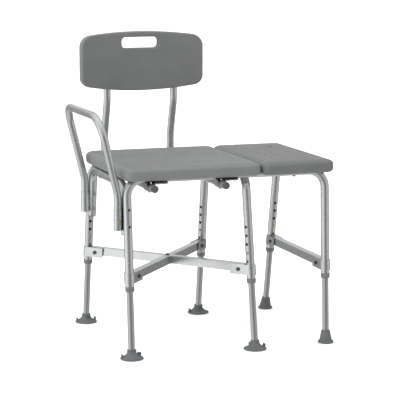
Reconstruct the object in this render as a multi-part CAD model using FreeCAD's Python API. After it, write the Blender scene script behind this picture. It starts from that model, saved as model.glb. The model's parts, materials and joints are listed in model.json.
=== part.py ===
import FreeCAD, Part
import math
import os

# Bath transfer bench: a blow-moulded seat with a transfer extension on three
# inverted-U tube frames, six height-adjustable legs, a lift-off arm and a
# slide-out backrest.
# Frame: X runs along the bench (arm at -X, transfer extension at +X),
# -Y is the sitter's front, +Z is up and the floor is Z = 0. The dimensions
# have X = 0 at the middle of the seat; save() moves each piece so that the
# origin lies under the middle of the overall length. Millimetres.

Vec = FreeCAD.Vector
X_DIR, Y_DIR, Z_DIR = Vec(1, 0, 0), Vec(0, 1, 0), Vec(0, 0, 1)
ENDS = {-1: "front", 1: "rear"}          # sign of Y at each end of a frame

# ---------------------------------------------------------------- dimensions
# seat
SEAT_LEFT, SEAT_SEAM, SEAT_RIGHT = -321.5, 95.5, 327.0
SEAM_GAP = 3.0
SEAT_HALF_DEPTH = 228.5
SEAT_TOP, SEAT_THICK = 544.0, 36.0
SEAT_BOTTOM = SEAT_TOP - SEAT_THICK
SEAT_CORNER_R, SEAM_CORNER_R = 30.0, 24.0
SEAT_EDGE_R = 13.0                       # bull-nosed top and bottom edges
SKIN = 3.0                               # blow-moulded wall
GROOVE_R = 13.5                          # channels for the frame tubes
DRAIN_R, DRAIN_WALL_R = 3.0, 5.5
DRAIN_PITCH_X, DRAIN_PITCH_Y = 45.0, 54.0
# frame tubes
TUBE_R, TUBE_WALL = 12.7, 1.3
BEND_R = 50.0
RAIL_Z, RAIL_Y = 512.0, 187.0            # front and rear rail axes
END_SPLAY = 61.1                         # outward run of an end leg, rail to floor
LEFT_LEG_X, LEFT_FLOOR_X = -308.5, -314.0
RIGHT_TOP_X, RIGHT_FLOOR_X = 306.5, 290.0
MID_X, MID_Z = 59.0, 508.0               # crossbar of the middle frame
MID_FLOOR_X = 61.5
MID_TOP_Y, MID_FLOOR_Y = 175.9, 256.2
MID_FACING = Vec(-0.83, -0.56, 0)        # way the middle legs' holes face
TUBE_END_Z = 206.0                       # lower end of the outer leg tubes
# leg extensions and snap buttons
EXT_R, EXT_WALL = 9.525, 1.2
EXT_TOP_Z, EXT_BOTTOM_Z = 293.0, 8.0
PITCH = 25.4                             # height setting pitch
BUTTON_Z = 280.0                         # snap button height at rest (4th hole down)
HOLE_R, PIN_R, PIN_PROUD = 4.4, 4.1, 3.2
# fasteners
BOLT_R, BOLT_HOLE_R, BOLT_HEAD_R = 3.0, 3.3, 5.6
NUT_R, NUT_BORE_R, NUT_THICK = 5.8, 3.05, 4.6
KEY_R, KEY_DEPTH = 3.0, 1.7
SCREW_R, SCREW_HEAD_R, PILOT_R, SCREW_HOLE_R = 2.3, 4.8, 2.4, 2.8
# arm
ARM_R, ARM_WALL = 11.1, 1.5
ARM_X, ARM_Y = -334.0, {-1: -184.0, 1: 172.0}   # front and rear socket
ARM_TOP_X, ARM_TOP_Z = -391.0, 692.5
ARM_TOP_FRONT_Y, ARM_TOP_REAR_Y = -200.0, 162.0
ARM_BOTTOM_Z, ARM_FLARE_Z = 368.0, 466.0
SOCKET_BOTTOM_Z, SOCKET_TOP_Z = 365.0, 428.0
ARM_PIN_Z = 390.0
# left side frame
SIDE_Z, SIDE_BOTTOM_Z, SIDE_BEND_R = 494.0, 352.0, 42.0
SIDE_GAP = 25.6                          # end leg axis to short leg axis, in Y
SIDE_BOLT_Z = (425.0, 377.0)
# backrest
POST_R, POST_WALL = 11.1, 1.5
POST_X = (-240.0, -24.0)
POST_Z = 487.5                           # axis of the horizontal run
POST_FRONT_Y, POST_REAR_Y, PANEL_POST_Y = -236.0, 277.5, 244.0
POST_TOP_Z = 868.0
PANEL_X, PANEL_HALF_W = -132.0, 196.0
PANEL_LOW, PANEL_HIGH = 724.7, 907.3
PANEL_BOLT_Z = (775.0, 845.0)
PANEL_REAR, PANEL_T = 269.0, 32.0
PANEL_FRONT = PANEL_REAR - PANEL_T
PANEL_BOW = 26.0                         # the ends stand this far forward
SCREW_SEAT_Y = 259.6
# saddles under the rails
SADDLE_T, SADDLE_HALF = 3.2, 15.0
SADDLE_TOP = RAIL_Z - TUBE_R - 0.2
SADDLE_SCREW_DX = (25.0, 44.0)           # saddle screws, from the tube
# braces
BRACE_H, BRACE_W, BRACE_T = 24.0, 22.0, 2.0
BRACE_TOP = 248.0
BRACE_END = 16.5                         # leg axis to the end of the channel
EAR_BOTTOM, EAR_TOP = 217.0, 247.0
EAR_MID_Z = (EAR_BOTTOM + EAR_TOP) / 2   # bolt height
EAR_BOLT, EAR_END = 34.0, 62.0           # leg axis to bracket bolt and ear end
STRAP_INNER_R, STRAP_OUTER_R = 13.05, 15.3
# feet
SOLE_Z = 6.0                             # a foot is centred on the leg axis here
FOOT_BORE_Z = 7.9

# screw positions (x, y)
SIDE_SCREWS = [(LEFT_LEG_X, -85.0), (LEFT_LEG_X, 85.0)]     # panel to side frame
MID_SCREWS = [(MID_X, -85.0), (MID_X, 85.0)]                # panel to middle frame
RAIL_SCREW_X = 208.0
RAIL_SCREWS = [(RAIL_SCREW_X, -RAIL_Y), (RAIL_SCREW_X, RAIL_Y)]   # extension to rails

ORIGIN_X = (ARM_TOP_X - ARM_R + SEAT_RIGHT) / 2


# ------------------------------------------------------------------- helpers
def unit(vector):
    copy = Vec(vector)
    copy.normalize()
    return copy


def bar(point, direction, start, end, radius):
    """Round bar along direction, between two distances from point."""
    return Part.makeCylinder(radius, end - start, point + direction * start, direction)


def x_bar(y, z, x0, x1, radius):
    return bar(Vec(0, y, z), X_DIR, x0, x1, radius)


def y_bar(x, z, y0, y1, radius):
    return bar(Vec(x, 0, z), Y_DIR, y0, y1, radius)


def z_bar(x, y, z0, z1, radius):
    return bar(Vec(x, y, 0), Z_DIR, z0, z1, radius)


def box(x0, x1, y0, y1, z0, z1):
    return Part.makeBox(x1 - x0, y1 - y0, z1 - z0, Vec(x0, y0, z0))


def line(start, end):
    return Part.LineSegment(start, end).toShape()


def arc(start, middle, end):
    return Part.Arc(start, middle, end).toShape()


def polygon(points):
    """Face inside a closed run of points."""
    return Part.Face(Part.Wire(Part.makePolygon(points + [points[0]])))


def oriented_block(origin, along, across, s0, s1, w0, w1, z0, z1):
    """Upright block turned in plan; s and w are measured from origin."""
    base = Vec(origin.x, origin.y, z0)
    corners = [(s0, w0), (s1, w0), (s1, w1), (s0, w1)]
    face = polygon([base + along * s + across * w for s, w in corners])
    return face.extrude(Vec(0, 0, z1 - z0))


def fuse(shapes):
    return shapes[0].fuse(shapes[1:]).removeSplitter()


def cut_all(shape, tools):
    return shape.cut(Part.makeCompound(tools))


def rounded_path(points, radii):
    """A polyline with each inner corner rounded to its radius."""
    edges, start = [], points[0]
    for before, corner, after, radius in zip(points, points[1:], points[2:], radii):
        arriving, leaving = unit(corner - before), unit(after - corner)
        turn = arriving.getAngle(leaving)
        setback = radius * math.tan(turn / 2)
        bend_start, bend_end = corner - arriving * setback, corner + leaving * setback
        middle = corner + unit(leaving - arriving) * (radius / math.cos(turn / 2) - radius)
        edges += [line(start, bend_start), arc(bend_start, middle, bend_end)]
        start = bend_end
    edges.append(line(start, points[-1]))
    return Part.Wire(edges)


def rod(points, radii, radius):
    direction = unit(points[1] - points[0])
    ring = Part.Wire([Part.makeCircle(radius, points[0], direction)])
    pipe = rounded_path(points, radii).makePipeShell([ring], True, True)
    return pipe if pipe.ShapeType == "Solid" else Part.Solid(pipe)


def tube(points, radii, radius, wall):
    """A bent tube, open at both ends."""
    start = points[0] + unit(points[0] - points[1]) * 2.0
    end = points[-1] + unit(points[-1] - points[-2]) * 2.0
    bore = rod([start] + points[1:-1] + [end], radii, radius - wall)
    return rod(points, radii, radius).cut(bore)


def rounded_rect(x0, x1, y0, y1, left_r, right_r, z):
    """Face at height z with its own corner radius at each X end."""
    def corner(x, y, radius, angle):
        return arc(*[Vec(x + radius * math.cos(math.radians(a)),
                         y + radius * math.sin(math.radians(a)), z)
                     for a in (angle, angle + 45, angle + 90)])

    xl, xr = x0 + left_r, x1 - right_r
    return Part.Face(Part.Wire([
        line(Vec(xl, y0, z), Vec(xr, y0, z)),
        corner(xr, y0 + right_r, right_r, -90),
        line(Vec(x1, y0 + right_r, z), Vec(x1, y1 - right_r, z)),
        corner(xr, y1 - right_r, right_r, 0),
        line(Vec(xr, y1, z), Vec(xl, y1, z)),
        corner(xl, y1 - left_r, left_r, 90),
        line(Vec(x0, y1 - left_r, z), Vec(x0, y0 + left_r, z)),
        corner(xl, y0 + left_r, left_r, 180),
    ]))


def edges_at(shape, z, tolerance=0.01):
    return [e for e in shape.Edges
            if abs(e.BoundBox.ZMin - z) < tolerance and abs(e.BoundBox.ZMax - z) < tolerance]


def round_rim(shape, centre, radius):
    """Fillet the circular edge that has this centre."""
    rim = [e for e in shape.Edges if e.Closed and (e.CenterOfMass - centre).Length < 0.05]
    return shape.makeFillet(radius, rim)


def domed_bar(point, direction, start, end, radius, rounding):
    """Round bar with the rim of its far end rounded."""
    shape = bar(point, direction, start, end, radius)
    return round_rim(shape, point + direction * end, rounding)


def save(name, shape):
    """Write one piece, given as a shape or as a list of solids."""
    if isinstance(shape, list):
        shape = Part.makeCompound(shape)
    solids = shape.Solids
    assert solids, name
    shape = solids[0] if len(solids) == 1 else Part.makeCompound(solids)
    assert shape.isValid(), name
    shape = shape.translated(Vec(-ORIGIN_X, 0, 0))
    shape.exportStep(os.path.join("parts", name + ".step"))


# ---------------------------------------------------------------- fasteners
def hexagon(centre, x_dir, y_dir, radius):
    angles = [math.radians(60 * k) for k in range(6)]
    return polygon([centre + (x_dir * math.cos(a) + y_dir * math.sin(a)) * radius
                    for a in angles])


def hex_nut(seat, out, x_dir, y_dir, thick=NUT_THICK):
    """Nut that stands out from its seat."""
    blank = hexagon(seat, x_dir, y_dir, NUT_R).extrude(out * thick)
    return blank.cut(bar(seat, out, -1, 7, NUT_BORE_R))


def hex_socket(point, inward):
    """Six-sided key socket sunk from point."""
    x_dir = unit(inward.cross(X_DIR if abs(inward.x) < 0.9 else Z_DIR))
    face = hexagon(point - inward * 0.5, x_dir, inward.cross(x_dir), KEY_R)
    return face.extrude(inward * (KEY_DEPTH + 0.5))


def socket_bolt(point, out, seat, head_height, rounding, tip):
    """Bolt through point: head seated at distance seat, tip on the other side."""
    head = domed_bar(point, out, seat, seat + head_height, BOLT_HEAD_R, rounding)
    inward = out * -1
    bolt = fuse([head, bar(point, inward, -(seat + 0.2), tip, BOLT_R)])
    return bolt.cut(hex_socket(point + out * (seat + head_height), inward))


def upright_screw(x, y, seat, tip, head_r, head_height):
    """Screw driven upwards, its head just below the seat height."""
    return fuse([z_bar(x, y, seat - 0.1 - head_height, seat - 0.1, head_r),
                 z_bar(x, y, seat - 0.5, tip, SCREW_R)])


# ---------------------------------------------------------------------- legs
class Leg:
    """Axis of a leg, from the top corner of its frame to the floor."""

    def __init__(self, top, floor, side):
        self.top = top
        self.down = unit(floor - top)
        # the holes face this way
        self.facing = unit(side - self.down * side.dot(self.down))

    def at(self, z):
        return self.top + self.down * ((self.top.z - z) / -self.down.z)

    def bar(self, z0, z1, radius):
        """A round bar on the leg axis between two heights."""
        start, end = self.at(z0), self.at(z1)
        return bar(start, unit(end - start), 0, (end - start).Length, radius)

    def hole_point(self, k):
        """Axis point of the hole k pitches above the button."""
        return self.at(BUTTON_Z) - self.down * (PITCH * k)

    def button_holes(self):
        """Five height holes in the outer tube."""
        return [bar(self.hole_point(k), self.facing, 0, 16, HOLE_R) for k in range(-1, 4)]


# frame: (top x, top y, top z, floor x, floor y), y given for the rear leg
LEG_AXES = {
    "left": (LEFT_LEG_X, RAIL_Y, RAIL_Z, LEFT_FLOOR_X, RAIL_Y + END_SPLAY),
    "middle": (MID_X, MID_TOP_Y, MID_Z, MID_FLOOR_X, MID_FLOOR_Y),
    "right": (RIGHT_TOP_X, RAIL_Y, RAIL_Z, RIGHT_FLOOR_X, RAIL_Y + END_SPLAY),
}
LEGS = {}
for frame, (top_x, top_y, top_z, floor_x, floor_y) in LEG_AXES.items():
    for end in ENDS:
        LEGS[frame, end] = Leg(Vec(top_x, end * top_y, top_z), Vec(floor_x, end * floor_y, 0),
                               MID_FACING if frame == "middle" else Vec(0, -end, 0))


def leg_frame(first, second):
    """Inverted-U tube that holds two legs, and its height holes."""
    points = [first.at(TUBE_END_Z), first.top, second.top, second.at(TUBE_END_Z)]
    shape = tube(points, [BEND_R, BEND_R], TUBE_R, TUBE_WALL)
    return shape, first.button_holes() + second.button_holes()


def rail_frame(end):
    left = LEGS["left", end]
    y = end * RAIL_Y
    shape, cuts = leg_frame(left, LEGS["right", end])
    cuts.append(z_bar(RAIL_SCREW_X, y, RAIL_Z - 20, RAIL_Z + 20, SCREW_HOLE_R))
    cuts += [z_bar(x + dx, y, RAIL_Z - 20, RAIL_Z - 8, 2.6)
             for x in POST_X for dx in SADDLE_SCREW_DX]
    cuts += [bar(left.at(z), left.facing, -20, 20, BOLT_HOLE_R) for z in SIDE_BOLT_Z]
    return cut_all(shape, cuts)


def middle_frame():
    shape, cuts = leg_frame(LEGS["middle", -1], LEGS["middle", 1])
    cuts += [z_bar(x, y, MID_Z - 20, MID_Z + 20, SCREW_HOLE_R) for x, y in MID_SCREWS]
    return cut_all(shape, cuts)


def leg_extension(leg):
    shape = leg.bar(EXT_TOP_Z, EXT_BOTTOM_Z, EXT_R)
    shape = shape.cut(leg.bar(EXT_TOP_Z + 2, EXT_BOTTOM_Z - 2, EXT_R - EXT_WALL))
    return shape.cut(bar(leg.at(BUTTON_Z), leg.facing, 0, 12, HOLE_R))


def leg_collar(leg):
    """Plastic bush: a sleeve in the outer tube and a rounded lip below it."""
    lip_bottom = TUBE_END_Z - 15.0
    lip = leg.bar(TUBE_END_Z - 0.1, lip_bottom, TUBE_R + 0.7)
    lip = round_rim(lip, leg.at(lip_bottom), 5.0)
    sleeve = leg.bar(TUBE_END_Z + 34.0, TUBE_END_Z - 5.0, TUBE_R - TUBE_WALL - 0.12)
    bore = leg.bar(TUBE_END_Z + 40.0, TUBE_END_Z - 20.0, EXT_R + 0.15)
    return fuse([lip, sleeve]).cut(bore)


# ------------------------------------------------------- left side frame
def short_axis(end, z):
    """Axis of a short leg at height z, inward of the end leg."""
    point = LEGS["left", end].at(z)
    return Vec(point.x, point.y - end * SIDE_GAP, z)


def arm_socket(end):
    y = ARM_Y[end]
    sleeve = z_bar(ARM_X, y, SOCKET_BOTTOM_Z, SOCKET_TOP_Z, TUBE_R)
    return sleeve.cut(z_bar(ARM_X, y, SOCKET_BOTTOM_Z - 1, SOCKET_BOTTOM_Z + 69, ARM_R + 0.3))


def socket_web(end):
    """Weld web between an arm socket and its short leg."""
    rings = []
    for z in (SOCKET_BOTTOM_Z + 6, SOCKET_TOP_Z - 6):
        socket, short_leg = Vec(ARM_X, ARM_Y[end], z), short_axis(end, z)
        along = unit(short_leg - socket)
        half = Vec(-along.y, along.x, 0) * 3.0
        near, far = socket + along * 12.1, short_leg - along * 11.9
        rings.append(Part.makePolygon(
            [near - half, far - half, far + half, near + half, near - half]))
    return Part.makeLoft(rings, True, True)


def left_side_frame():
    """Short inverted U between the left legs, with the two arm sockets."""
    points = [short_axis(-1, SIDE_BOTTOM_Z), short_axis(-1, SIDE_Z),
              short_axis(1, SIDE_Z), short_axis(1, SIDE_BOTTOM_Z)]
    solids = [tube(points, [SIDE_BEND_R, SIDE_BEND_R], TUBE_R, TUBE_WALL)]
    cuts = []
    for end in ENDS:
        solids += [arm_socket(end), socket_web(end)]
        cuts.append(bar(Vec(ARM_X, ARM_Y[end], ARM_PIN_Z), Vec(0, end, 0), 0, 16, HOLE_R))
        leg = LEGS["left", end]
        cuts += [bar(leg.at(z), leg.facing, 5, 50, BOLT_HOLE_R) for z in SIDE_BOLT_Z]
        # relief so that the top height hole of the end leg stays usable
        cuts.append(bar(leg.hole_point(3), leg.facing, 6, 18, 7.5))
    cuts += [z_bar(x, y, SIDE_Z - 20, SIDE_Z + 20, SCREW_HOLE_R) for x, y in SIDE_SCREWS]
    return cut_all(fuse(solids), cuts)


def side_frame_fasteners():
    """Bolts and nuts that hold the side frame to the left legs."""
    bolts, nuts = [], []
    for end in ENDS:
        leg = LEGS["left", end]
        inward = leg.facing
        far_side = SIDE_GAP * abs(inward.y) + TUBE_R
        for z in SIDE_BOLT_Z:
            point = leg.at(z)
            bolts.append(socket_bolt(point, inward * -1, seat=TUBE_R + 0.1, head_height=2.6,
                                     rounding=1.4, tip=far_side + 6.0))
            nuts.append(hex_nut(point + inward * (far_side + 0.15), inward,
                                X_DIR, unit(inward.cross(X_DIR))))
    return bolts, nuts


def side_frame_plug(end):
    """Plug in the lower end of a short leg."""
    tube_end = short_axis(end, SIDE_BOTTOM_Z)
    down = unit(tube_end - short_axis(end, SIDE_Z))
    plug = fuse([bar(tube_end, down, 0.1, 2.3, TUBE_R - 0.2),
                 bar(tube_end, down * -1, -0.6, 11.4, TUBE_R - TUBE_WALL - 0.15)])
    leg = LEGS["left", end]
    return plug.cut(bar(leg.hole_point(3), leg.facing, 6, 18.6, 8.0))


# ---------------------------------------------------------------- seat panels
def groove_x(y, x0, x1):
    """Open-bottomed half-round channel along a rail."""
    return fuse([x_bar(y, RAIL_Z, x0, x1, GROOVE_R),
                 box(x0, x1, y - GROOVE_R, y + GROOVE_R, SEAT_BOTTOM - 5, RAIL_Z)])


def groove_y(x, y0, y1):
    """The same along the crossbar of the middle frame."""
    return fuse([y_bar(x, MID_Z, y0, y1, GROOVE_R),
                 box(x - GROOVE_R, x + GROOVE_R, y0, y1, SEAT_BOTTOM - 5, MID_Z)])


def panel_blank(x0, x1, left_r, right_r):
    """Rounded slab with bull-nosed edges."""
    face = rounded_rect(x0, x1, -SEAT_HALF_DEPTH, SEAT_HALF_DEPTH, left_r, right_r, SEAT_BOTTOM)
    slab = face.extrude(Vec(0, 0, SEAT_THICK))
    slab = slab.makeFillet(SEAT_EDGE_R, edges_at(slab, SEAT_TOP))
    return slab.makeFillet(SEAT_EDGE_R, edges_at(slab, SEAT_BOTTOM))


def air_space(x0, x1, drains, screws):
    """The closed air space of a panel, with a wall round each drain and screw."""
    depth = RAIL_Y - 18
    face = rounded_rect(x0, x1, -depth, depth, 20, 20, SEAT_BOTTOM + SKIN)
    air = face.extrude(Vec(0, 0, SEAT_THICK - 2 * SKIN))
    posts = [z_bar(x, y, SEAT_BOTTOM, SEAT_TOP, DRAIN_WALL_R) for x, y in drains]
    posts += [z_bar(x, y, SEAT_BOTTOM, SEAT_TOP, 7.0) for x, y in screws]
    return cut_all(air, posts)


def drain_grid(centre_x, columns):
    """Drain positions: columns on each side of centre_x, five rows."""
    return [(centre_x + DRAIN_PITCH_X * i, DRAIN_PITCH_Y * j)
            for i in range(-columns, columns + 1) for j in range(-2, 3)]


def pierce_panel(blank, cuts, pilots, pilot_top, drains, air):
    cuts += [z_bar(x, y, SEAT_BOTTOM - 5, pilot_top, PILOT_R) for x, y in pilots]
    cuts += [z_bar(x, y, SEAT_BOTTOM - 5, SEAT_TOP + 5, DRAIN_R) for x, y in drains]
    return cut_all(blank, cuts + [air])


def main_seat_panel():
    blank = panel_blank(SEAT_LEFT, SEAT_SEAM - SEAM_GAP / 2, SEAT_CORNER_R, SEAM_CORNER_R)
    grooves = [groove_x(-RAIL_Y, -306, 100), groove_x(RAIL_Y, -306, 100),
               groove_y(MID_X, -174, 174)]
    drains = drain_grid(-120.0, 3)
    air = air_space(SEAT_LEFT + 12, MID_X - 18, drains, SIDE_SCREWS)
    return pierce_panel(blank, grooves, SIDE_SCREWS + MID_SCREWS, SEAT_BOTTOM + 24, drains, air)


def transfer_seat_panel():
    blank = panel_blank(SEAT_SEAM + SEAM_GAP / 2, SEAT_RIGHT, SEAM_CORNER_R, SEAT_CORNER_R)
    grooves = [groove_x(-RAIL_Y, 90, 304), groove_x(RAIL_Y, 90, 304)]
    drains = drain_grid(212.0, 1)
    air = air_space(SEAT_SEAM + 14, SEAT_RIGHT - 12, drains, [])
    return pierce_panel(blank, grooves, RAIL_SCREWS, RAIL_Z + 25, drains, air)


def seat_panel_screws():
    # positions, tube axis height, tip height
    groups = [(SIDE_SCREWS, SIDE_Z, SEAT_BOTTOM + 22), (MID_SCREWS, MID_Z, SEAT_BOTTOM + 23),
              (RAIL_SCREWS, RAIL_Z, RAIL_Z + 24)]
    return [upright_screw(x, y, axis_z - TUBE_R, tip, SCREW_HEAD_R, 2.8)
            for places, axis_z, tip in groups for x, y in places]


# ------------------------------------------------------------------ backrest
def backrest_tube(x):
    points = [Vec(x, POST_FRONT_Y, POST_Z), Vec(x, POST_REAR_Y, POST_Z),
              Vec(x, POST_REAR_Y, 582.0), Vec(x, PANEL_POST_Y, 694.0),
              Vec(x, PANEL_POST_Y, POST_TOP_Z)]
    cuts = [y_bar(x, z, PANEL_POST_Y, PANEL_POST_Y + 20, SCREW_HOLE_R) for z in PANEL_BOLT_Z]
    cuts.append(bar(Vec(x, -RAIL_Y, POST_Z), Z_DIR * -1, 0, 16, HOLE_R))
    return cut_all(tube(points, [45.0, 100.0, 100.0], POST_R, POST_WALL), cuts)


def backrest_tube_plug(x):
    """Round plug in the front end of a backrest tube."""
    nose = POST_FRONT_Y - 5.5
    cap = y_bar(x, POST_Z, nose, POST_FRONT_Y - 0.1, POST_R)
    cap = round_rim(cap, Vec(x, nose, POST_Z), 1.6)
    cap = cap.cut(y_bar(x, POST_Z, nose - 0.5, nose + 1.0, 6.0))
    stem_r = POST_R - POST_WALL - 0.1
    return fuse([cap, y_bar(x, POST_Z, POST_FRONT_Y - 1, POST_FRONT_Y + 13, stem_r)])


def panel_outline():
    """Front view of the backrest panel: arched top, bowed bottom, round corners."""
    left, right = PANEL_X - PANEL_HALF_W, PANEL_X + PANEL_HALF_W
    high, low = PANEL_HIGH - 11.5, PANEL_LOW + 16.0
    high_r, low_r = 34.0, 28.0
    high_run, low_run = high_r * 0.95, low_r * 0.95
    left_low, left_high = Vec(left, 0, low + low_r), Vec(left, 0, high - high_r)
    right_low, right_high = Vec(right, 0, low + low_r), Vec(right, 0, high - high_r)
    top_left, top_right = Vec(left + high_run, 0, high + 1.5), Vec(right - high_run, 0, high + 1.5)
    base_left, base_right = Vec(left + low_run, 0, low - 1.5), Vec(right - low_run, 0, low - 1.5)

    def corner(start, end, x_sign, z_sign, radius):
        centre = Vec(PANEL_X + x_sign * (PANEL_HALF_W - radius), 0,
                     high - radius if z_sign > 0 else low + radius)
        middle = centre + Vec(x_sign, 0, z_sign) * (radius * math.sqrt(0.5))
        return arc(start, middle, end)

    return Part.Wire([
        line(left_low, left_high),
        corner(left_high, top_left, -1, 1, high_r),
        arc(top_left, Vec(PANEL_X, 0, PANEL_HIGH), top_right),
        corner(top_right, right_high, 1, 1, high_r),
        line(right_high, right_low),
        corner(right_low, base_right, 1, -1, low_r),
        arc(base_right, Vec(PANEL_X, 0, PANEL_LOW), base_left),
        corner(base_left, left_low, -1, -1, low_r),
    ])


def bowed_block(front, rear):
    """Tall block bowed in plan; front and rear are its Y at mid-width."""
    left, right = PANEL_X - PANEL_HALF_W - 6, PANEL_X + PANEL_HALF_W + 6
    front_end, rear_end = front - PANEL_BOW, rear - PANEL_BOW
    block = Part.Face(Part.Wire([
        arc(Vec(left, front_end, 0), Vec(PANEL_X, front, 0), Vec(right, front_end, 0)),
        line(Vec(right, front_end, 0), Vec(right, rear_end, 0)),
        arc(Vec(right, rear_end, 0), Vec(PANEL_X, rear, 0), Vec(left, rear_end, 0)),
        line(Vec(left, rear_end, 0), Vec(left, front_end, 0)),
    ])).extrude(Vec(0, 0, 400))
    block.translate(Vec(0, 0, 600))
    return block


def hand_slot():
    slot = rounded_rect(PANEL_X - 61.5, PANEL_X + 58.5, 856, 890, 13, 13, 0)
    slot = slot.extrude(Vec(0, 0, 400))
    slot.rotate(Vec(0, 0, 0), X_DIR, 90)
    slot.translate(Vec(0, 400, 0))
    return slot


def backrest_panel():
    profile = Part.Face(panel_outline()).extrude(Vec(0, 400, 0))
    panel = bowed_block(PANEL_FRONT, PANEL_REAR).common(profile).cut(hand_slot())
    # eased edges all round the front and the back
    eased = []
    for edge in panel.Edges:
        size = edge.BoundBox
        through = size.YLength > PANEL_T - 1 and size.XLength < 0.01
        if size.XLength + size.ZLength > 12 and not through:
            eased.append(edge)
    panel = panel.makeFillet(5.0, eased)
    # the tubes run up into blind sockets; screws enter from behind
    cuts = []
    for x in POST_X:
        cuts.append(z_bar(x, PANEL_POST_Y, 600, POST_TOP_Z + 3.5, POST_R + 0.4))
        cuts += [y_bar(x, z, PANEL_POST_Y, SCREW_SEAT_Y + 20, PILOT_R) for z in PANEL_BOLT_Z]
        cuts += [y_bar(x, z, SCREW_SEAT_Y, SCREW_SEAT_Y + 20, 5.6) for z in PANEL_BOLT_Z]
    # closed air spaces: below the hand slot, and left and right of it
    inside = bowed_block(PANEL_FRONT + SKIN, PANEL_REAR - SKIN)
    low, high = PANEL_LOW + 24, PANEL_HIGH - 26
    left_post, right_post = POST_X
    cells = [(left_post + 18, right_post - 18, low, 845.0),
             (PANEL_X - PANEL_HALF_W + 14, left_post - 18, low + 6, high - 6),
             (right_post + 18, PANEL_X + PANEL_HALF_W - 14, low + 6, high - 6)]
    cuts += [inside.common(box(x0, x1, 100, 300, z0, z1)) for x0, x1, z0, z1 in cells]
    return cut_all(panel, cuts)


def backrest_screw(x, z):
    return fuse([y_bar(x, z, SCREW_SEAT_Y + 0.1, SCREW_SEAT_Y + 2.7, SCREW_HEAD_R),
                 y_bar(x, z, PANEL_POST_Y - 2, SCREW_SEAT_Y + 0.5, SCREW_R)])


def saddle(x, y):
    """Holds a backrest tube under a rail: a hump round the tube and one long
    ear towards +X."""
    y0, y1 = y - SADDLE_HALF, y + SADDLE_HALF
    outer_r, bore_r = POST_R + SADDLE_T, POST_R + 0.25
    ear = box(x - outer_r, x + 54, y0, y1, SADDLE_TOP - SADDLE_T, SADDLE_TOP)
    ear = ear.makeFillet(6.0, [e for e in ear.Edges
                               if abs(e.BoundBox.ZLength - SADDLE_T) < 0.01
                               and e.CenterOfMass.x > x])
    hump = fuse([y_bar(x, POST_Z, y0, y1, outer_r),
                 box(x - outer_r, x + outer_r, y0, y1, POST_Z, SADDLE_TOP)])
    hump = hump.common(box(x - 30, x + 30, y0, y1, POST_Z - 30, SADDLE_TOP))
    bore = [y_bar(x, POST_Z, y0 - 1, y1 + 1, bore_r),
            box(x - bore_r, x + bore_r, y0 - 1, y1 + 1, POST_Z, SADDLE_TOP + 1)]
    bore += [z_bar(x + dx, y, SADDLE_TOP - 10, SADDLE_TOP + 5, 2.6) for dx in SADDLE_SCREW_DX]
    if y < 0:
        # the snap button comes through the front saddle
        bore.append(bar(Vec(x, y, POST_Z), Z_DIR * -1, 0, 20, HOLE_R))
    return fuse([ear, hump]).cut(fuse(bore))


# ----------------------------------------------------------------------- arm
def arm_rail():
    front_y, rear_y = ARM_Y[-1], ARM_Y[1]
    points = [Vec(ARM_X, front_y, ARM_BOTTOM_Z), Vec(ARM_X, front_y, ARM_FLARE_Z),
              Vec(ARM_TOP_X, ARM_TOP_FRONT_Y, ARM_TOP_Z),
              Vec(ARM_TOP_X, ARM_TOP_REAR_Y, ARM_TOP_Z),
              Vec(ARM_X, rear_y, ARM_FLARE_Z), Vec(ARM_X, rear_y, ARM_BOTTOM_Z)]
    cuts = [bar(Vec(ARM_X, ARM_Y[end], ARM_PIN_Z), Vec(0, end, 0), 0, 16, HOLE_R)
            for end in ENDS]
    return cut_all(tube(points, [110.0, 66.0, 52.0, 110.0], ARM_R, ARM_WALL), cuts)


# ------------------------------------------------------------- snap buttons
def snap_button(point, out, along, tip):
    """A domed pin riveted to the near leaf of a hairpin spring clip.

    point is on the tube axis, out the way the pin points, along runs down the
    clip to its bend, tip is the pin's end from the axis.
    """
    pin = domed_bar(point, out, 5.6, tip, PIN_R, 2.4)
    # leaf faces, as distances from the tube axis towards the pin
    near_in, near_out, far_out, far_in = 5.0, 5.9, -2.6, -1.7
    near_end, far_end, bend = -6, 4, 34.0
    middle = (near_out + far_out) / 2
    outer_r, inner_r = (near_out - far_out) / 2, (near_in - far_in) / 2

    def at(offset, run):
        return point + out * offset + along * run

    clip = Part.Face(Part.Wire([
        line(at(near_out, near_end), at(near_out, bend)),
        arc(at(near_out, bend), at(middle, bend + outer_r), at(far_out, bend)),
        line(at(far_out, bend), at(far_out, far_end)),
        line(at(far_out, far_end), at(far_in, far_end)),
        line(at(far_in, far_end), at(far_in, bend)),
        arc(at(far_in, bend), at(middle, bend + inner_r), at(near_in, bend)),
        line(at(near_in, bend), at(near_in, near_end)),
        line(at(near_in, near_end), at(near_out, near_end)),
    ]))
    width_dir = unit(out.cross(along))
    clip = clip.extrude(width_dir * 5.0)
    clip.translate(width_dir * -2.5)
    return fuse([pin, clip])


# ----------------------------------------------------------------------- feet
def lathe(outline, centre):
    """Revolve an (r, z) outline about the vertical through centre."""
    face = polygon([Vec(r, 0, z) for r, z in outline])
    solid = face.revolve(Vec(0, 0, 0), Z_DIR, 360)
    solid.translate(Vec(centre.x, centre.y, 0))
    return solid


def layer(centre, z0, z1):
    """Wide block that trims a leaning body level."""
    return box(centre.x - 60, centre.x + 60, centre.y - 60, centre.y + 60, z0, z1)


# (r, z) outlines; the cup has a dished underside inside a flat sealing ring
SUCTION_CUP = [(0, 4.0), (12, 3.7), (21, 2.4), (27, 0), (31.6, 0), (33.3, 0.9), (34, 2.6),
               (33, 4.6), (23, 8.5), (17.5, 13.5), (0, 15)]
TIP_BASE = [(0, 0), (21.5, 0), (23.3, 1.5), (23.3, 5.0), (21.8, 7.0), (18.2, 9.0), (0, 9.0)]
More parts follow.
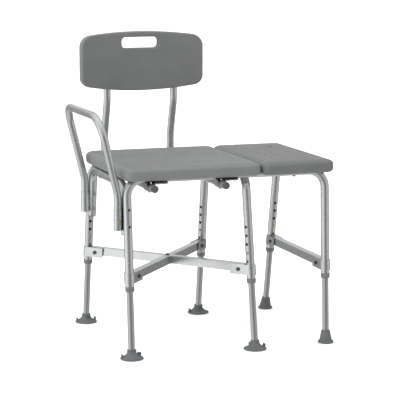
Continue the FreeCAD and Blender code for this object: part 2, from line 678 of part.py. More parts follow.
# angles of the two tabs on each suction foot, in degrees from +X
TAB_ANGLES = {("left", -1): (180, 25), ("left", 1): (180, 0),
              ("middle", -1): (0, 95), ("middle", 1): (180, 80)}


def foot_tab(centre, angle):
    tab = box(-6.5, 6.5, 24.5, 28.5, 3.0, 16.0)
    tab = tab.makeFillet(1.6, [e for e in tab.Edges if e.BoundBox.ZMin > 14])
    tab.rotate(Vec(0, 26, 3), X_DIR, -14)
    tab.rotate(Vec(0, 0, 0), Z_DIR, angle - 90)
    tab.translate(Vec(centre.x, centre.y, 0))
    return tab


def foot_bore(leg):
    return leg.bar(60.0, FOOT_BORE_Z, EXT_R + 0.05)


def suction_foot(leg, angles):
    centre = leg.at(SOLE_Z)
    hub = leg.bar(27.0, 4.0, 13.4).common(layer(centre, 3.0, 60))
    skirt = Part.makeCone(17.6, 13.0, 11.0, leg.at(10.0), leg.down * -1)
    tabs = [foot_tab(centre, angle) for angle in angles]
    return fuse([lathe(SUCTION_CUP, centre), hub, skirt] + tabs).cut(foot_bore(leg))


def rubber_tip(leg):
    centre = leg.at(SOLE_Z)
    body = Part.makeCone(19.0, 12.6, 31.0, leg.at(6.5), leg.down * -1)
    body = body.common(layer(centre, 3.0, 80))
    return fuse([lathe(TIP_BASE, centre), body]).cut(foot_bore(leg))


# --------------------------------------------------------------------- braces
def brace_point(leg):
    """Point of the leg axis at bolt height."""
    point = leg.at(EAR_MID_Z)
    return Vec(point.x, point.y, EAR_MID_Z)


class Brace:
    """Inverted U-channel between two leg axes, its ends clear of the legs."""

    def __init__(self, start_key, end_key, top):
        self.keys, self.top = (start_key, end_key), top
        self.start = brace_point(LEGS[start_key])
        run = brace_point(LEGS[end_key]) - self.start
        self.length = run.Length
        self.along = unit(run)
        self.across = Vec(-self.along.y, self.along.x, 0)

    def channel(self):
        half, top, skirt = BRACE_W / 2, self.top, self.top - BRACE_H
        # across and height limits of the web and the two flanges
        walls = [(-half, half, top - BRACE_T, top), (-half, -half + BRACE_T, skirt, top),
                 (half - BRACE_T, half, skirt, top)]
        body = fuse([oriented_block(self.start, self.along, self.across,
                                    BRACE_END, self.length - BRACE_END, *wall)
                     for wall in walls])
        return cut_all(body, [bar(self.start + self.along * s, self.across, -20, 20, BOLT_HOLE_R)
                              for s in (EAR_BOLT, self.length - EAR_BOLT)])


UPPER = Brace(("left", 1), ("middle", -1), BRACE_TOP)
LOWER = Brace(("left", -1), ("middle", 1), BRACE_TOP - BRACE_T - 0.2)
SPREADER = Brace(("right", 1), ("right", -1), BRACE_TOP - 1.0)


def crossing_point():
    """Where the upper and lower braces cross in plan."""
    upper, lower = UPPER.along, LOWER.along
    offset = LOWER.start - UPPER.start
    denominator = upper.x * -lower.y + lower.x * upper.y
    return UPPER.start + upper * ((offset.x * -lower.y + lower.x * offset.y) / denominator)


CROSS = crossing_point()


def pivot_hole():
    return z_bar(CROSS.x, CROSS.y, 200, 270, BOLT_HOLE_R)


def cross_brace_upper():
    """The upper brace is notched where the lower one runs through it."""
    half = BRACE_W / 2 + 0.6
    notch = oriented_block(CROSS, LOWER.along, LOWER.across, -30, 30, -half, half,
                           200, BRACE_TOP - BRACE_T)
    return UPPER.channel().cut(notch).cut(pivot_hole())


def pivot_bolt():
    head = domed_bar(Vec(CROSS.x, CROSS.y, BRACE_TOP), Z_DIR, 0.1, 4.2, BOLT_HEAD_R, 2.4)
    return fuse([head, z_bar(CROSS.x, CROSS.y, BRACE_TOP - 16, BRACE_TOP + 0.5, BOLT_R)])


def pivot_nut():
    seat = Vec(CROSS.x, CROSS.y, BRACE_TOP - 2 * BRACE_T - 0.4)
    return hex_nut(seat, Z_DIR * -1, X_DIR, Y_DIR, thick=5)


def brace_bracket(leg, along, across):
    """Stamped strap round the leg with two long ears that hold the brace."""
    base = leg.at(EAR_BOTTOM)
    inner, outer = STRAP_INNER_R, STRAP_OUTER_R

    def at(run, side):
        return base + along * run + across * side

    strap = Part.Face(Part.Wire([
        line(at(EAR_END, -outer), at(0, -outer)),
        arc(at(0, -outer), at(-outer, 0), at(0, outer)),
        line(at(0, outer), at(EAR_END, outer)),
        line(at(EAR_END, outer), at(EAR_END, inner)),
        line(at(EAR_END, inner), at(0, inner)),
        arc(at(0, inner), at(-inner, 0), at(0, -inner)),
        line(at(0, -inner), at(EAR_END, -inner)),
        line(at(EAR_END, -inner), at(EAR_END, -outer)),
    ])).extrude(leg.at(EAR_TOP) - base)
    return strap.cut(bar(brace_point(leg) + along * EAR_BOLT, across, -25, 25, BOLT_HOLE_R))


def bracket_fasteners(leg, along, across):
    """Level bolt square to the brace, its head seated on the ear, and its nut."""
    point = brace_point(leg) + along * EAR_BOLT
    rise = leg.at(EAR_TOP) - leg.at(EAR_BOTTOM)
    # the ears lean with the leg, so the seat moves out over the head's radius
    lean = abs(across.dot(Vec(rise.x, rise.y, 0))) / rise.z * 6.0
    reach = STRAP_OUTER_R + lean + 0.15
    # the head goes on the side nearer the front
    out = across * (1 if across.dot(Vec(-0.3, -1, 0)) > 0 else -1)
    bolt = socket_bolt(point, out, seat=reach, head_height=3.4, rounding=1.8, tip=reach + 5.8)
    nut = hex_nut(point - out * reach, out * -1, unit(out.cross(Z_DIR)), Z_DIR)
    return bolt, nut


# ---------------------------------------------------------------- all pieces
os.makedirs("parts", exist_ok=True)

save("front_rail_frame", rail_frame(-1))
save("rear_rail_frame", rail_frame(1))
save("middle_leg_frame", middle_frame())

save("left_side_frame", left_side_frame())
side_bolts, side_nuts = side_frame_fasteners()
save("side_frame_bolts", side_bolts)
save("side_frame_nuts", side_nuts)
save("side_frame_plugs", [side_frame_plug(end) for end in ENDS])

save("main_seat_panel", main_seat_panel())
save("transfer_seat_panel", transfer_seat_panel())
save("seat_panel_screws", seat_panel_screws())

for name, x in zip(("left", "right"), POST_X):
    save("backrest_tube_" + name, backrest_tube(x))
    save("snap_button_backrest_" + name,
         snap_button(Vec(x, -RAIL_Y, POST_Z), Z_DIR * -1, Y_DIR, POST_R + SADDLE_T + 2.6))
save("backrest_tube_end_plugs", [backrest_tube_plug(x) for x in POST_X])
save("backrest_panel", backrest_panel())
save("backrest_screws", [backrest_screw(x, z) for x in POST_X for z in PANEL_BOLT_Z])
saddle_places = [(x, y) for x in POST_X for y in (-RAIL_Y, RAIL_Y)]
save("backrest_tube_saddles", [saddle(x, y) for x, y in saddle_places])
save("saddle_screws", [
    upright_screw(x + dx, y, SADDLE_TOP - SADDLE_T, SADDLE_TOP + 7, head_r=4.6, head_height=2.6)
    for x, y in saddle_places for dx in SADDLE_SCREW_DX])

save("arm_rail", arm_rail())
for end, name in ENDS.items():
    # the clip points up the tube here, so that it clears the tube's open end
    save("snap_button_arm_" + name,
         snap_button(Vec(ARM_X, ARM_Y[end], ARM_PIN_Z), Vec(0, end, 0), Z_DIR,
                     TUBE_R + PIN_PROUD))

for (frame, end), leg in LEGS.items():
    name = frame + "_" + ENDS[end]
    save("snap_button_" + name,
         snap_button(leg.at(BUTTON_Z), leg.facing, leg.down, TUBE_R + PIN_PROUD))
    save("leg_extension_" + name, leg_extension(leg))
    if frame == "right":
        save("rubber_tip_" + name, rubber_tip(leg))
    else:
        save("suction_foot_" + name, suction_foot(leg, TAB_ANGLES[frame, end]))
save("leg_collars", [leg_collar(leg) for leg in LEGS.values()])

save("cross_brace_upper", cross_brace_upper())
save("cross_brace_lower", LOWER.channel().cut(pivot_hole()))
save("right_spreader_bar", SPREADER.channel())
save("cross_brace_pivot_bolt", pivot_bolt())
save("cross_brace_pivot_nut", pivot_nut())

brackets, bracket_bolts, bracket_nuts = [], [], []
for brace in (UPPER, LOWER, SPREADER):
    for key, sign in zip(brace.keys, (1, -1)):
        leg, along, across = LEGS[key], brace.along * sign, brace.across * sign
        bolt, nut = bracket_fasteners(leg, along, across)
        brackets.append(brace_bracket(leg, along, across))
        bracket_bolts.append(bolt)
        bracket_nuts.append(nut)
save("brace_brackets", brackets)
save("brace_bracket_bolts", bracket_bolts)
save("brace_bracket_nuts", bracket_nuts)
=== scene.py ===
import json
import math

import bmesh
import bpy
from mathutils import Matrix, Vector
from mathutils.geometry import delaunay_2d_cdt


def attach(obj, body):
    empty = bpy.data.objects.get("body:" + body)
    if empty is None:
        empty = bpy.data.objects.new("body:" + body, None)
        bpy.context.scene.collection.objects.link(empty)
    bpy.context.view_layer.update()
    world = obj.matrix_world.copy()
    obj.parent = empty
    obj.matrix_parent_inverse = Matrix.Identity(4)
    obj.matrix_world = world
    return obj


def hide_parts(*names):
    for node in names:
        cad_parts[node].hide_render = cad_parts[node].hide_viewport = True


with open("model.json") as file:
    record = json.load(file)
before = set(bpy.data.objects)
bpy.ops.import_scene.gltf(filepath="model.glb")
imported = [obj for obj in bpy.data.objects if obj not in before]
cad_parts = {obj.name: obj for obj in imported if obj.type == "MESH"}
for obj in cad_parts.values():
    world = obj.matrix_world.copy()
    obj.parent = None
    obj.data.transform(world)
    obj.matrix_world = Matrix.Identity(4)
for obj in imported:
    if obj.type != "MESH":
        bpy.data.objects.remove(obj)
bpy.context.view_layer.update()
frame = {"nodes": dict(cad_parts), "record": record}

nodes = frame["nodes"]
scene = bpy.context.scene


# ---------------------------------------------------------------- materials
class Mat:
    """A small helper round one Principled material's node tree."""

    def __init__(self, name):
        self.m = bpy.data.materials.new(name)
        self.m.use_nodes = True
        self.t = self.m.node_tree
        self.bsdf = self.t.nodes["Principled BSDF"]
        self.pos = self.node("ShaderNodeTexCoord").outputs["Object"]

    def node(self, kind, **props):
        n = self.t.nodes.new(kind)
        for k, v in props.items():
            setattr(n, k, v)
        return n

    def link(self, a, b):
        self.t.links.new(a, b)

    def noise(self, scale, detail=3.0, rough=0.5, vec=None, stretch=None):
        n = self.node("ShaderNodeTexNoise")
        n.inputs["Scale"].default_value = scale
        n.inputs["Detail"].default_value = detail
        n.inputs["Roughness"].default_value = rough
        src = vec or self.pos
        if stretch:
            mp = self.node("ShaderNodeMapping")
            mp.inputs["Scale"].default_value = stretch
            self.link(src, mp.inputs["Vector"])
            src = mp.outputs["Vector"]
        self.link(src, n.inputs["Vector"])
        return n.outputs["Fac"]

    def voronoi(self, scale, feature="F1"):
        n = self.node("ShaderNodeTexVoronoi", feature=feature)
        n.inputs["Scale"].default_value = scale
        self.link(self.pos, n.inputs["Vector"])
        return n.outputs["Distance"]

    def ramp(self, fac, stops):
        n = self.node("ShaderNodeValToRGB")
        e = n.color_ramp.elements
        while len(e) < len(stops):
            e.new(0.5)
        for el, (p, c) in zip(e, stops):
            el.position = p
            el.color = c if len(c) == 4 else (*c, 1)
        self.link(fac, n.inputs["Fac"])
        return n.outputs["Color"]

    def range(self, fac, a, b, lo, hi):
        n = self.node("ShaderNodeMapRange")
        n.inputs["From Min"].default_value = a
        n.inputs["From Max"].default_value = b
        n.inputs["To Min"].default_value = lo
        n.inputs["To Max"].default_value = hi
        self.link(fac, n.inputs["Value"])
        return n.outputs["Result"]

    def mix(self, fac, a, b, mode="MIX"):
        n = self.node("ShaderNodeMix", data_type="RGBA", blend_type=mode)
        if isinstance(fac, float):
            n.inputs["Factor"].default_value = fac
        else:
            self.link(fac, n.inputs["Factor"])
        for sock, v in ((n.inputs["A"], a), (n.inputs["B"], b)) if False else ((n.inputs[6], a), (n.inputs[7], b)):
            if isinstance(v, (tuple, list)):
                sock.default_value = (*v, 1) if len(v) == 3 else v
            else:
                self.link(v, sock)
        return n.outputs[2]

    def math(self, op, a, b=0.0):
        n = self.node("ShaderNodeMath", operation=op)
        for sock, v in ((n.inputs[0], a), (n.inputs[1], b)):
            if isinstance(v, (int, float)):
                sock.default_value = v
            else:
                self.link(v, sock)
        return n.outputs[0]

    def mixf(self, fac, a, b):
        n = self.node("ShaderNodeMix", data_type="FLOAT")
        for sock, v in ((n.inputs[0], fac), (n.inputs[2], a), (n.inputs[3], b)):
            if isinstance(v, (int, float)):
                sock.default_value = v
            else:
                self.link(v, sock)
        return n.outputs[0]

    def bump(self, height, distance, strength=1.0, after=None):
        n = self.node("ShaderNodeBump")
        n.inputs["Distance"].default_value = distance
        n.inputs["Strength"].default_value = strength
        self.link(height, n.inputs["Height"])
        if after is not None:
            self.link(after, n.inputs["Normal"])
        return n.outputs["Normal"]

    def set(self, **kw):
        names = {"color": "Base Color", "rough": "Roughness", "metal": "Metallic", "normal": "Normal",
                 "spec": "Specular IOR Level", "coat": "Coat Weight", "coat_rough": "Coat Roughness",
                 "sheen": "Sheen Weight", "aniso": "Anisotropic"}
        for k, v in kw.items():
            s = self.bsdf.inputs[names[k]]
            if isinstance(v, (int, float)):
                s.default_value = v
            elif isinstance(v, (tuple, list)):
                s.default_value = (*v, 1) if len(v) == 3 else v
            else:
                self.link(v, s)
        return self


def grained_plastic(name, base, grain=0.00012, rough=(0.42, 0.55)):
    """Moulded polyethylene: faint cloudy colour, flow marks, pebble grain."""
    m = Mat(name)
    cloud = m.noise(9.0, 4.0, 0.55)
    fine = m.noise(420.0, 2.0, 0.5)
    dark = tuple(c * 0.93 for c in base)
    light = tuple(min(1, c * 1.06) for c in base)
    col = m.mix(m.range(cloud, 0.3, 0.7, 0.0, 1.0), dark, light)
    col = m.mix(m.range(fine, 0.35, 0.65, 0.0, 0.10), col, tuple(c * 0.75 for c in base))
    scuff = m.noise(38.0, 6.0, 0.7)
    r = m.math("ADD", m.range(fine, 0.3, 0.7, rough[0], rough[1]), m.range(scuff, 0.55, 0.75, 0.0, -0.06))
    cell = m.voronoi(900.0)
    n = m.bump(cell, grain, 0.55)
    n = m.bump(fine, grain * 1.2, 0.5, n)
    n = m.bump(m.noise(22.0, 2.0), 0.0012, 0.16, n)
    m.set(color=col, rough=r, normal=n, spec=0.45)
    return m.m


def satin_tube(name, base, metal=0.9, rough=0.30, painted_shade_colour=(0.02, 0.02, 0.02)):
    """Clear-anodised tube: drawn streaks, tiny handling marks."""
    m = Mat(name)
    cloud = m.noise(14.0, 3.0, 0.5)
    streak = m.noise(60.0, 4.0, 0.6, stretch=(6.0, 6.0, 0.25))
    fine = m.noise(900.0, 2.0, 0.6)
    dark = tuple(c * 0.94 for c in base)
    col = m.mix(m.range(cloud, 0.3, 0.7, 0.0, 1.0), dark, base)
    col = m.mix(m.range(streak, 0.45, 0.62, 0.0, 0.06), col, tuple(c * 0.82 for c in base))
    scratch = m.noise(220.0, 5.0, 0.75)
    r = m.math("ADD", m.range(fine, 0.3, 0.7, rough - 0.03, rough + 0.05), m.range(scratch, 0.58, 0.72, 0.0, 0.05))
    n = m.bump(fine, 0.00002, 0.15)
    n = m.bump(streak, 0.00006, 0.06, n)
    # bores and hole walls see no light, so their shade is painted in: where ambient occlusion is deep, in bores,
    # hole walls and tight gaps between parts, the colour goes to a dark shade tone
    ao = m.node("ShaderNodeAmbientOcclusion", samples=6)
    ao.inputs["Distance"].default_value = 0.026
    painted_shade_mask = m.range(ao.outputs["AO"], 0.02, 0.09, 1.0, 0.0)
    col = m.mix(painted_shade_mask, col, painted_shade_colour)
    m.set(color=col, rough=m.mixf(painted_shade_mask, r, 0.8), metal=metal, normal=n)
    return m.m


def rubber(name, base):
    m = Mat(name)
    cloud = m.noise(30.0, 4.0, 0.6)
    fine = m.noise(700.0, 3.0, 0.6)
    col = m.mix(m.range(cloud, 0.3, 0.7, 0.0, 1.0), tuple(c * 0.88 for c in base), tuple(c * 1.08 for c in base))
    dust = m.noise(90.0, 6.0, 0.7)
    col = m.mix(m.range(dust, 0.52, 0.75, 0.0, 0.25), col, tuple(min(1, c * 1.5) for c in base))
    n = m.bump(fine, 0.00010, 0.6)
    m.set(color=col, rough=m.range(fine, 0.3, 0.7, 0.55, 0.75), normal=n, spec=0.4)
    return m.m


def plated(name, base, rough=0.28):
    m = Mat(name)
    cloud = m.noise(120.0, 4.0, 0.6)
    fine = m.noise(1500.0, 2.0, 0.6)
    col = m.mix(m.range(cloud, 0.35, 0.65, 0.0, 1.0), tuple(c * 0.82 for c in base), base)
    n = m.bump(fine, 0.00003, 0.5)
    m.set(color=col, rough=m.range(cloud, 0.3, 0.7, rough, rough + 0.14), metal=1.0, normal=n)
    return m.m


GREY = (0.215, 0.222, 0.219)
M = {
    # painted shade: the three panels are one grey plastic; the transfer extension and backrest copies are set darker
    # (0.735 and 0.87 of the grey against 0.95) to stand for the lesser light on them
    "panel_plastic": grained_plastic("panel_plastic", tuple(c * 0.95 for c in GREY)),
    "panel_plastic_ext": grained_plastic("panel_plastic_ext", tuple(c * 0.735 for c in GREY)),
    "panel_plastic_back": grained_plastic("panel_plastic_back", tuple(c * 0.87 for c in GREY)),
    "grey_tube": satin_tube("grey_tube", (0.60, 0.613, 0.615), rough=0.25),
    # painted shade: the saddles' bores and tight gaps are painted a mid grey, lighter than the near-black painted on
    # the tubes
    "saddle_tube": satin_tube("saddle_tube", (0.34, 0.345, 0.345), metal=0.20, rough=0.42, painted_shade_colour=(0.20, 0.20, 0.20)),
    "plug_plastic": grained_plastic("plug_plastic", (0.105, 0.108, 0.110), grain=0.00006, rough=(0.35, 0.48)),
    "dark_plastic": grained_plastic("dark_plastic", (0.175, 0.18, 0.182), grain=0.00006, rough=(0.35, 0.48)),
    "inner_tube": satin_tube("inner_tube", (0.45, 0.46, 0.465), rough=0.34),
    "black_steel": plated("black_steel", (0.05, 0.05, 0.052), rough=0.35),
    "grey_rubber": rubber("grey_rubber", (0.140, 0.148, 0.152)),
    # painted shade: a dark grey standing for the shade in bolt key sockets and round bolt heads
    "dark_bolt": plated("dark_bolt", (0.13, 0.13, 0.132), rough=0.36),
    "zinc_steel": plated("zinc_steel", (0.62, 0.62, 0.61)),
    "button_brass": plated("button_brass", (0.62, 0.50, 0.28)),
}
slots = {s["node"]: s["material_slot"] for s in frame["record"]["subparts"]}
for name, o in nodes.items():
    o.data.materials.clear()
    o.data.materials.append(M[slots[name]])
    if name.startswith("leg_extension"):
        o.data.materials[0] = M["inner_tube"]


# ----------------------------------------------------------- moulded seat top
def add_piece(name, bm, body, slot_name, angle=35.0):
    me = bpy.data.meshes.new(name)
    bm.to_mesh(me)
    bm.free()
    for p in me.polygons:
        p.use_smooth = abs(p.normal.z) < 0.99999      # level ground stays crisp
    me.set_sharp_from_angle(angle=math.radians(angle))
    o = bpy.data.objects.new(name, me)
    scene.collection.objects.link(o)
    o.data.materials.append(M[slot_name])
    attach(o, body)
    return o


PAD = 0.0016                      # the tread stands this much above the rim
STEP = [(0.0003, 0.0004), (0.0008, 0.0013), (0.0017, PAD)]


def moulded_top(node, name, tint, centre=None, pitch=0.009, margin=0.0006, profile=(), body="frame"):
    """The panel with its flat top rebuilt as a raised tread with low round studs.

    The flat faces are taken out, a small step is built inside the rim, one
    square cell per stud is laid on the grid, and the rest, up to the step and
    round each drain, is triangulated. With no profile the tread is smooth.
    """
    src = nodes[node]
    bm = bmesh.new()
    bm.from_mesh(src.data)
    bmesh.ops.remove_doubles(bm, verts=bm.verts, dist=2e-6)
    top = max(v.co.z for v in bm.verts)
    flat = [f for f in bm.faces if all(abs(v.co.z - top) < 1e-5 for v in f.verts)]
    bmesh.ops.delete(bm, geom=flat, context="FACES")
    rim = [e for e in bm.edges if len(e.link_faces) == 1 and all(abs(v.co.z - top) < 1e-5 for v in e.verts)]
    rim_verts = sorted({v for e in rim for v in e.verts}, key=lambda v: (round(v.co.x, 6), round(v.co.y, 6)))
    # follow the loops: the longest is the outer rim, the others are drains
    left, loops = set(rim), []
    while left:
        e = min(left, key=lambda k: min((round(v.co.x, 6), round(v.co.y, 6)) for v in k.verts))
        loop, v = [e.verts[0]], e.verts[0]
        while True:
            left.discard(e)
            v = e.other_vert(v)
            if v is loop[0]:
                break
            loop.append(v)
            e = [k for k in v.link_edges if k in left][0]
        loops.append(loop)
    loops.sort(key=len, reverse=True)
    outer = max(loops, key=lambda lp: max(v.co.x for v in lp) - min(v.co.x for v in lp))
    drains = []
    mid = sum((v.co for v in outer), Vector()) / len(outer)

    def skirt(lower, upper):
        for k in range(len(lower)):
            j = (k + 1) % len(lower)
            bm.faces.new((lower[k], lower[j], upper[j], upper[k]))

    raised = []
    for lp in loops:
        if lp is not outer:
            c = sum((v.co for v in lp), Vector()) / len(lp)
            drains.append((c.x, c.y, max((v.co - c).length for v in lp)))
            new = [bm.verts.new((v.co.x, v.co.y, top + PAD)) for v in lp]
            skirt(lp, new)
            raised.append(new)
    normals = []
    for k, v in enumerate(outer):
        tangent = outer[(k + 1) % len(outer)].co - outer[k - 1].co
        n = Vector((-tangent.y, tangent.x, 0)).normalized()
        normals.append(n if n.dot(mid - v.co) > 0 else -n)
    start, prev = [v.co.copy() for v in outer], outer
    for inset, dz in STEP:
        new = [bm.verts.new((p.x + n.x * inset, p.y + n.y * inset, top + dz)) for p, n in zip(start, normals)]
        skirt(prev, new)
        prev = new
    outer = prev
    loops = raised + [outer]
    rim_verts = [v for lp in loops for v in lp]
    top += PAD
    ring = [(v.co.x, v.co.y) for v in outer]

    def inside(x, y, gap):
        """Inside the outer rim by at least gap (the rim is convex)."""
        sign = 0
        for (ax, ay), (bx, by) in zip(ring, ring[1:] + ring[:1]):
            ex, ey = bx - ax, by - ay
            n = math.hypot(ex, ey)
            if n < 1e-9:
                continue
            d = (ex * (y - ay) - ey * (x - ax)) / n
            if sign == 0:
                sign = 1 if d > 0 else -1
            if d * sign < gap:
                return False
        return True

    h = pitch / 2
    span = 40 if profile else -1
    centre = centre or (mid.x, mid.y)
    cells = set()
    for i in range(-span, span + 1):
        for j in range(-span, span + 1):
            x, y = centre[0] + pitch * i, centre[1] + pitch * j
            if any(math.hypot(x - dx, y - dy) < r + h for dx, dy, r in drains):
                continue
            if all(inside(x + sx * h, y + sy * h, margin) for sx in (-1, 1) for sy in (-1, 1)):
                cells.add((i, j))
    verts = {}

    def corner(a, b):
        """Vertex at half-pitch lattice position a, b, shared by neighbours."""
        if (a, b) not in verts:
            verts[a, b] = bm.verts.new((centre[0] + h * a, centre[1] + h * b, top))
        return verts[a, b]

    steps = [(1, 0), (1, 1), (0, 1), (-1, 1), (-1, 0), (-1, -1), (0, -1), (1, -1)]
    for i, j in sorted(cells):
        x, y = centre[0] + pitch * i, centre[1] + pitch * j
        prev = [corner(2 * i + a, 2 * j + b) for a, b in steps]
        for r, z in profile:
            cur = [bm.verts.new((x + r * math.cos(math.radians(45 * k)), y + r * math.sin(math.radians(45 * k)), top + z)) for k in range(8)]
            for k in range(8):
                bm.faces.new((prev[k], prev[(k + 1) % 8], cur[(k + 1) % 8], cur[k]))
            prev = cur
        bm.faces.new(prev)
    # the ground between the studs, the rim and the drains
    edges2, pts, index = [], [], {}

    def idx(v):
        if v not in index:
            index[v] = len(pts)
            pts.append(v)
        return index[v]

    for v in rim_verts:
        idx(v)
    for lp in loops:
        for a, b in zip(lp, lp[1:] + lp[:1]):
            edges2.append((idx(a), idx(b)))
    for i, j in sorted(cells):
        for a, b, di, dj in ((0, 7, 1, 0), (1, 3, 0, 1), (3, 5, -1, 0), (5, 7, 0, -1)):
            if (i + di, j + dj) in cells:
                continue
            if (di, dj) == (1, 0):
                seq = [(1, -1), (1, 0), (1, 1)]
            elif (di, dj) == (0, 1):
                seq = [(1, 1), (0, 1), (-1, 1)]
            elif (di, dj) == (-1, 0):
                seq = [(-1, 1), (-1, 0), (-1, -1)]
            else:
                seq = [(-1, -1), (0, -1), (1, -1)]
            ids = [idx(corner(2 * i + a2, 2 * j + b2)) for a2, b2 in seq]
            edges2 += list(zip(ids, ids[1:]))
    out = delaunay_2d_cdt([Vector((v.co.x, v.co.y)) for v in pts], edges2, [], 0, 1e-9)
    new_v, new_f, orig = out[0], out[2], out[3]
    real = [pts[o[0]] if o else bm.verts.new((c.x, c.y, top)) for c, o in zip(new_v, orig)]
    for f in new_f:
        cx = sum(new_v[k].x for k in f) / len(f)
        cy = sum(new_v[k].y for k in f) / len(f)
        i, j = round((cx - centre[0]) / pitch), round((cy - centre[1]) / pitch)
        if (i, j) in cells or any(math.hypot(cx - dx, cy - dy) < r * 0.985 for dx, dy, r in drains):
            continue
        if not inside(cx, cy, 0.0):
            continue
        bm.faces.new([real[k] for k in f])
    bmesh.ops.recalc_face_normals(bm, faces=bm.faces)
    o = add_piece(name, bm, body, "panel_plastic", 38.0)
    o.data.materials[0] = tint
    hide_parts(node)
    return o


OX = 0.03755                     # the frame's X of the seat's own middle
moulded_top("main_seat_panel", "main_seat_moulding", M["panel_plastic"], (OX - 0.120, 0.0),
            profile=[(0.0024, 0.0), (0.0021, 0.00050), (0.0013, 0.00085)])
moulded_top("transfer_seat_panel", "transfer_seat_moulding", M["panel_plastic_ext"])
nodes["backrest_panel"].data.materials[0] = M["panel_plastic_back"]
nodes["backrest_tube_saddles"].data.materials[0] = M["saddle_tube"]


def socket_heads(node, name, radius):
    """Bolt heads: a grey rim round a black key socket whose colour is painted shade, told apart by the distance from
    the head's own axis.
    """
    vs = [v.co for v in nodes[node].data.vertices]
    out = max(abs(v.y) for v in vs)
    centres = []
    for low in (True, False):
        zs = sorted(v.z for v in vs)
        mid = (zs[0] + zs[-1]) / 2
        group = [v for v in vs if (v.z < mid) == low and v.y < 0]
        end = min(v.y for v in group)
        face = [v for v in group if v.y < end + 0.0016]
        centres.append(((min(v.x for v in face) + max(v.x for v in face)) / 2,
                        (min(v.z for v in face) + max(v.z for v in face)) / 2))
    m = Mat(name)
    fine = m.noise(1500.0, 2.0, 0.6)
    xyz = m.node("ShaderNodeSeparateXYZ")
    m.link(m.pos, xyz.inputs[0])
    near = None
    for x, z in centres:
        dx = m.math("SUBTRACT", xyz.outputs["X"], x)
        dz = m.math("SUBTRACT", xyz.outputs["Z"], z)
        d = m.math("SQRT", m.math("ADD", m.math("MULTIPLY", dx, dx), m.math("MULTIPLY", dz, dz)))
        near = d if near is None else m.math("MINIMUM", near, d)
    rim = m.range(near, radius, radius + 0.0004, 0.0, 1.0)
    m.set(color=m.mix(rim, (0.03, 0.03, 0.031), (0.34, 0.345, 0.345)), rough=m.range(fine, 0.3, 0.7, 0.34, 0.44),
          metal=0.7)
    return m.m


nodes["side_frame_bolts"].data.materials[0] = socket_heads("side_frame_bolts", "bolt_heads_painted_socket_shade", 0.0030)
nodes["backrest_tube_end_plugs"].data.materials[0] = M["plug_plastic"]
# painted shade: the bracket and pivot bolts are given a dark grey all over to stand for the shade in their key
# sockets and round their heads
nodes["brace_bracket_bolts"].data.materials[0] = M["dark_bolt"]
nodes["cross_brace_pivot_bolt"].data.materials[0] = M["dark_bolt"]

# ------------------------------------------------------------ floor and light
bm = bmesh.new()
bmesh.ops.create_grid(bm, x_segments=8, y_segments=8, size=60.0)
me = bpy.data.meshes.new("floor")
bm.to_mesh(me)
bm.free()
floor = bpy.data.objects.new("floor", me)
scene.collection.objects.link(floor)
floor.location = (0, 0, -0.0004)
floor.visible_glossy = False
fm = Mat("floor_paint")
soft = fm.noise(0.6, 2.0)
fm.set(color=fm.mix(fm.range(soft, 0.3, 0.7, 0.0, 1.0), (0.90, 0.90, 0.90), (0.93, 0.93, 0.93)), rough=0.9, spec=0.1)
fm.bsdf.inputs["Emission Color"].default_value = (1, 1, 1, 1)
cam_ray = fm.node("ShaderNodeLightPath").outputs["Is Camera Ray"]
fm.link(fm.math("MULTIPLY", cam_ray, 0.30), fm.bsdf.inputs["Emission Strength"])
floor.data.materials.append(fm.m)

world = bpy.data.worlds.new("studio")
scene.world = world
world.use_nodes = True
t = world.node_tree
bg = t.nodes["Background"]
out = t.nodes["World Output"]
co = t.nodes.new("ShaderNodeTexCoord")


def lobe(az, el, width, gain):
    """A soft patch of the studio round one direction, as a factor 0..gain."""
    a, e = math.radians(az), math.radians(el)
    d = t.nodes.new("ShaderNodeVectorMath")
    d.operation = "DOT_PRODUCT"
    d.inputs[1].default_value = (math.sin(a) * math.cos(e), -math.cos(a) * math.cos(e), math.sin(e))
    nrm = t.nodes.new("ShaderNodeVectorMath")
    nrm.operation = "NORMALIZE"
    t.links.new(co.outputs["Generated"], nrm.inputs[0])
    t.links.new(nrm.outputs["Vector"], d.inputs[0])
    mr = t.nodes.new("ShaderNodeMapRange")
    mr.interpolation_type = "SMOOTHSTEP"
    mr.inputs["From Min"].default_value = math.cos(math.radians(width))
    mr.inputs["From Max"].default_value = 1.0
    mr.inputs["To Min"].default_value = 0.0
    mr.inputs["To Max"].default_value = gain
    t.links.new(d.outputs["Value"], mr.inputs["Value"])
    return mr.outputs["Result"]


def wmath(op, a, b):
    n = t.nodes.new("ShaderNodeMath")
    n.operation = op
    for s, v in ((n.inputs[0], a), (n.inputs[1], b)):
        if isinstance(v, (int, float)):
            s.default_value = v
        else:
            t.links.new(v, s)
    return n.outputs[0]


def studio(base, *patches):
    v = base
    for az, el, width, gain in patches:
        v = wmath("ADD", v, lobe(az, el, width, gain))
    return wmath("MAXIMUM", v, 0.10)


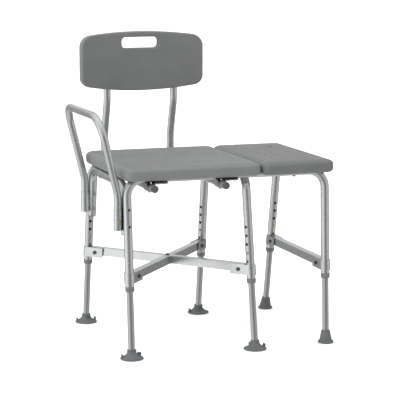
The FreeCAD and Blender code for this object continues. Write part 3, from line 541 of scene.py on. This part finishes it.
diffuse = studio(0.82,
                 (10, 0, 62, -0.84),      # the unlit side behind the camera
                 (-90, 35, 70, 0.60),     # large soft source, left
                 (0, 90, 60, 0.85))       # overhead
shine = studio(0.74,
               (-4, -6, 44, -0.56),       # the dark side the camera stands on
               (-88, 0, 40, 0.62),        # left panel
               (124, -8, 36, -0.50),      # dark flags behind, right and left
               (-163, -8, 32, -0.42),
               (0, 90, 55, 0.45))
lp = t.nodes.new("ShaderNodeLightPath")
glossy = lp.outputs["Is Glossy Ray"]
level = wmath("ADD", wmath("MULTIPLY", shine, glossy), wmath("MULTIPLY", diffuse, wmath("SUBTRACT", 1.0, glossy)))
mixs = t.nodes.new("ShaderNodeMixShader")
white = t.nodes.new("ShaderNodeBackground")
white.inputs["Color"].default_value = (1, 1, 1, 1)
white.inputs["Strength"].default_value = 1.0
t.links.new(level, bg.inputs["Strength"])
bg.inputs["Color"].default_value = (1, 1, 1, 1)
t.links.new(lp.outputs["Is Camera Ray"], mixs.inputs["Fac"])
t.links.new(bg.outputs["Background"], mixs.inputs[1])
t.links.new(white.outputs["Background"], mixs.inputs[2])
t.links.new(mixs.outputs["Shader"], out.inputs["Surface"])


def area(name, loc, target, size, power):
    l = bpy.data.lights.new(name, "AREA")
    l.shape = "DISK"
    l.size = size
    l.energy = power
    o = bpy.data.objects.new(name, l)
    scene.collection.objects.link(o)
    o.location = loc
    o.rotation_euler = (Vector(target) - Vector(loc)).to_track_quat("-Z", "Y").to_euler()
    o.visible_glossy = False
    return o


area("key", (-2.6, -1.2, 3.0), (0, 0, 0.4), 2.4, 26.0)

# ------------------------------------------------------------------- camera
cam = bpy.data.cameras.new("camera")
cam.sensor_width = 36.0
cam.lens = 1690.47 / 400 * 36
cam.shift_x = 0.87 / 400
cam.clip_start, cam.clip_end = 0.05, 200
eye = bpy.data.objects.new("camera", cam)
scene.collection.objects.link(eye)
eye.location = (-1.64345, -4.7710, 1.2110)
look = Vector((0.3241, 0.9330, -0.1567))
eye.rotation_mode = "QUATERNION"
eye.rotation_quaternion = look.to_track_quat("-Z", "Y")
scene.camera = eye

scene.view_settings.view_transform = "Standard"
scene.view_settings.look = "None"
scene.view_settings.exposure = 0.0
scene.view_settings.gamma = 1.0
